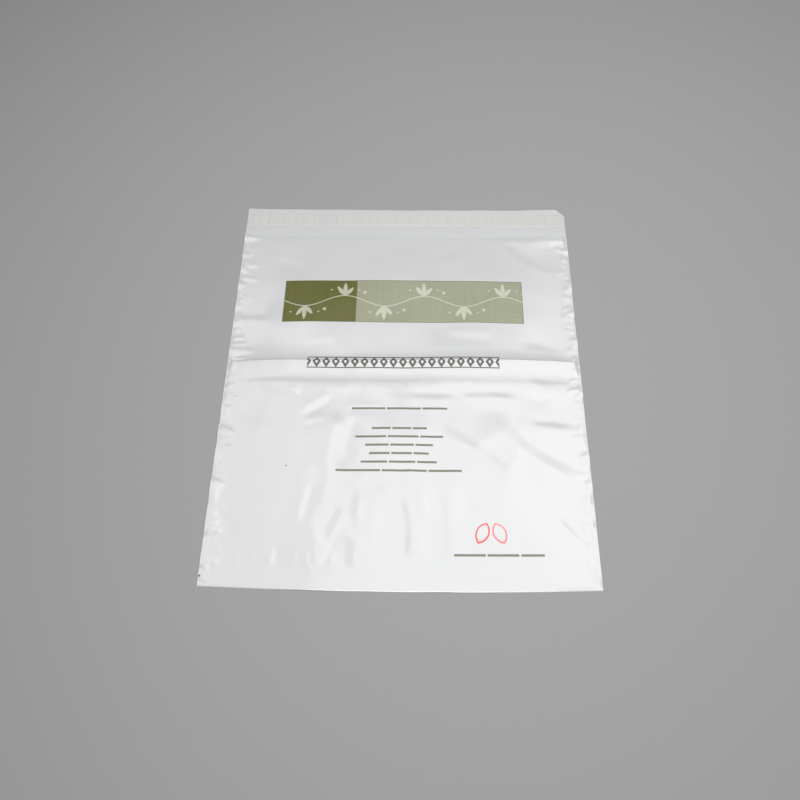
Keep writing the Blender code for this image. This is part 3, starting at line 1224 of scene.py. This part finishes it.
@dataclass
class ClosureBand:
    """One thin band across the flap, which can stand up in ripples across its length."""

    relief: FilmRelief
    name: str
    low: Vector
    high: Vector
    thickness: float
    above_flap: float
    columns: int
    rows: int
    ripple: float = 0.0
    pitch: float = 0.0085
    edge_droop: float = 0.00021
    seed: int = 5

    def grid_mesh(self) -> Mesh:
        """Return the band's middle surface, lying over the flap."""
        xs = np.linspace(self.low.x, self.high.x, self.columns + 1)
        ys = np.linspace(self.low.y, self.high.y, self.rows + 1)
        x, y = np.meshgrid(xs, ys)
        placed_x, placed_y = self.relief.outline(x, y)
        corner = (self.relief.half_width + self.relief.top - 0.010 - x - y) / math.sqrt(2.0)
        tucked = 0.0004 * np.clip(1.0 - corner / 0.013, 0.0, 1.0)
        z = self.relief.back(x, y) + self.above_flap + tucked
        points = np.stack([placed_x, placed_y, z], -1).reshape(-1, 3)
        index = np.arange(len(points)).reshape(self.rows + 1, self.columns + 1)
        quads = np.stack([index[:-1, :-1], index[:-1, 1:], index[1:, 1:], index[1:, :-1]], -1).reshape(-1, 4)
        data = bpy.data.meshes.new(self.name)
        data.from_pydata(points.tolist(), [], quads.tolist())
        return data

    def tree(self, material: Material) -> bpy.types.NodeTree:
        """Return the nodes that raise the band in tunnels of uneven length and height, and mark where
        painted shade goes.
        """
        inputs = dict.fromkeys(("Height", "Pitch", "Middle", "Half", "Seed"), "Float")
        made = GeometryTree(f"{self.name}_nodes", inputs)
        entry = made.entry
        place = made.node("GeometryNodeInputPosition").outputs[0]
        x, y, _ = (Value(made, part) for part in made.node("ShaderNodeSeparateXYZ", None, (place,)).outputs)
        sway = made.value("ShaderNodeTexNoise", None, {"Vector": place, "Scale": 90.0, "Detail": 1.0})
        along = x / entry["Pitch"] + sway * 0.55 + entry["Seed"]
        cells = made.value("ShaderNodeTexNoise", {"noise_dimensions": "1D"},
                           {"W": along, "Scale": 1.0, "Detail": 1.0})
        lifted = made.ramp(cells, 0.38, 0.60)
        to_edge = abs(y - entry["Middle"]) / entry["Half"]
        droop = made.ramp(to_edge, 0.80, 1.0)
        height = lifted * entry["Height"] * (1.0 - droop * 0.75) - droop * self.edge_droop
        offset = made.value("ShaderNodeCombineXYZ", None, {"Z": height})
        raised = made.value("GeometryNodeSetPosition", None,
                            {"Geometry": entry["Geometry"], "Offset": offset})
        # Mask for painted shade: the tunnels' sloping flanks, and the lifted film near the band's long
        # edges, stored as the "fold" attribute.
        painted_flank_shade = lifted * (1.0 - lifted) * 4.0
        ends = lifted * made.ramp(to_edge, 0.70, 0.88)
        marked = made.value("GeometryNodeStoreNamedAttribute", {"data_type": "FLOAT", "domain": "POINT"},
                            {"Geometry": raised, "Name": "fold", "Value": painted_flank_shade.high(ends)})
        return made.close(marked, material)

    def build(self, finish: LinerFinish | LumpyFinish) -> Piece:
        """Build the band."""
        piece = add_object(self.name, self.grid_mesh())
        material = finish.make()
        piece.data.materials.append(material)
        if self.ripple:
            nodes = piece.modifiers.new("ripples", "NODES")
            nodes.node_group = self.tree(material)
            middle, half = (self.low.y + self.high.y) / 2, (self.high.y - self.low.y) / 2
            set_inputs(nodes, {"Height": self.ripple, "Pitch": self.pitch, "Middle": middle, "Half": half,
                               "Seed": float(self.seed)})
        solid = piece.modifiers.new("gauge", "SOLIDIFY")
        solid.thickness = self.thickness
        solid.offset = 0.0
        apply_modifiers(piece)
        shade_smooth(piece.data)
        return piece


# ---------------------------------------------------------------- studio


@dataclass
class Studio:
    """Floor, soft lights and the camera."""

    camera_place: Vector = field(default_factory=lambda: Vector((0.0148, -0.5421, 0.8470)))
    elevation: float = 58.98
    azimuth: float = -1.97
    roll: float = -1.20
    lens: float = 40.0
    floor_half: float = 6.0
    light_height: float = 1.32

    def floor(self) -> None:
        """Lay the plain floor."""
        data = bpy.data.meshes.new("floor")
        mesh = bmesh.new()
        bmesh.ops.create_grid(mesh, x_segments=1, y_segments=1, size=self.floor_half)
        mesh.to_mesh(data)
        mesh.free()
        data.materials.append(FloorFinish().make())
        add_object("floor", data)

    def softbox(self, name: str, x: float, y: float, size: Pair, radiance: float) -> None:
        """Hang a rectangular light that faces straight down.

        Args:
            name: The light's name.
            x: Its middle across the bag.
            y: Its middle along the bag.
            size: Its two sides.
            radiance: How bright its face is.
        """
        lamp = bpy.data.lights.new(name, "AREA")
        lamp.shape = "RECTANGLE"
        lamp.size, lamp.size_y = size
        lamp.energy = radiance * math.pi * size[0] * size[1]
        piece = bpy.data.objects.new(name, lamp)
        piece.location = (x, y, self.light_height)
        bpy.context.scene.collection.objects.link(piece)

    def world(self, strength: float) -> None:
        """Fill the room with an even pale light."""
        world = bpy.data.worlds.new("pale_room")
        world.use_nodes = True
        backdrop = world.node_tree.nodes["Background"]
        backdrop.inputs["Color"].default_value = (0.98, 0.99, 1.0, 1.0)
        backdrop.inputs["Strength"].default_value = strength
        bpy.context.scene.world = world

    def camera(self) -> None:
        """Set the camera at the height and angle at which the bag is looked down on."""
        lens = bpy.data.cameras.new("camera")
        lens.lens = self.lens
        lens.sensor_width = 36.0
        viewer = bpy.data.objects.new("camera", lens)
        tilt = Matrix.Rotation(math.radians(90.0 - self.elevation), 4, "X")
        turn = Matrix.Rotation(math.radians(-self.azimuth), 4, "Z")
        lean = Matrix.Rotation(math.radians(self.roll), 4, "Z")
        viewer.matrix_world = Matrix.Translation(self.camera_place) @ turn @ tilt @ lean
        bpy.context.scene.collection.objects.link(viewer)
        bpy.context.scene.camera = viewer

    def build(self) -> None:
        """Set up the whole studio."""
        self.camera()
        self.floor()
        self.world(0.06)
        boxes = (
            ("front_key", 0.05, -0.45, (0.62, 0.42), 12.6),
            ("left_bank", -0.60, 0.48, (0.62, 1.26), 2.2),
            ("middle_bank", 0.05, 0.28, (0.62, 0.86), 3.4),
            ("middle_far", 0.05, 0.93, (0.62, 0.42), 1.4),
            ("right_bank", 0.65, 0.28, (0.62, 0.86), 4.0),
            ("right_far", 0.65, 0.93, (0.62, 0.42), 2.8),
        )
        for box in boxes:
            self.softbox(*box)
        bpy.context.scene.view_settings.view_transform = "Standard"


# ---------------------------------------------------------------- assembly


def dress(piece: Piece, node: str | None) -> None:
    """Ride a piece on the bag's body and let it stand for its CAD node."""
    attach(piece, BODY)
    if node is not None:
        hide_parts(node)
    log.info("%s: %d faces", piece.name, len(piece.data.polygons))


def film_relief() -> FilmRelief:
    """Return the film's relief, sized by the frame."""
    low, high = (Vector(corner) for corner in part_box(FILM_NODE))
    band_low = Vector(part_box(ADHESIVE_NODE)[0])
    flap = high.y - band_low.y + BAND_TO_MOUTH
    return FilmRelief(
        half_width=(high.x - low.x) / 2,
        bottom=low.y,
        mouth=high.y - flap,
        top=high.y,
        film=FILM_GAUGE,
    )


def build_bag() -> None:
    """Build the bag's pieces."""
    relief = film_relief()
    printed = FilmFinish("printed_white_film", artwork=Print())
    outer = FilmFinish("plain_white_film")
    inner = FilmFinish("inner_film_face", (0.522, 0.529, 0.540), (0.504, 0.512, 0.525), 0.34, gloss=0.4)
    web = FilmWeb(relief).build((printed, outer, inner))
    dress(web, FILM_NODE)

    beads = [WeldBead(relief, side, name).build(MELTED_BEAD)
             for side, name in ((-1.0, "left_weld_bead"), (1.0, "right_weld_bead"))]
    for bead in beads:
        dress(bead, None)

    low, high = (Vector(corner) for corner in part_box(ADHESIVE_NODE))
    inset = Vector((0.0, 0.002, 0.0))
    adhesive = ClosureBand(relief, "adhesive_band", low + inset, high - inset, thickness=0.00006,
                           above_flap=0.00011, columns=180, rows=4)
    glue = adhesive.build(HOT_MELT)
    dress(glue, ADHESIVE_NODE)

    low, high = (Vector(corner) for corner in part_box(LINER_NODE))
    liner = ClosureBand(relief, "release_liner_strip", low, high, thickness=0.00005,
                        above_flap=0.00026, columns=900, rows=20, ripple=0.00045)
    strip = liner.build(LinerFinish())
    dress(strip, LINER_NODE)


def main() -> None:
    """Build the studio and the bag."""
    logging.basicConfig(level=logging.INFO)
    Studio().build()
    build_bag()


if __name__ == "__main__":
    main()
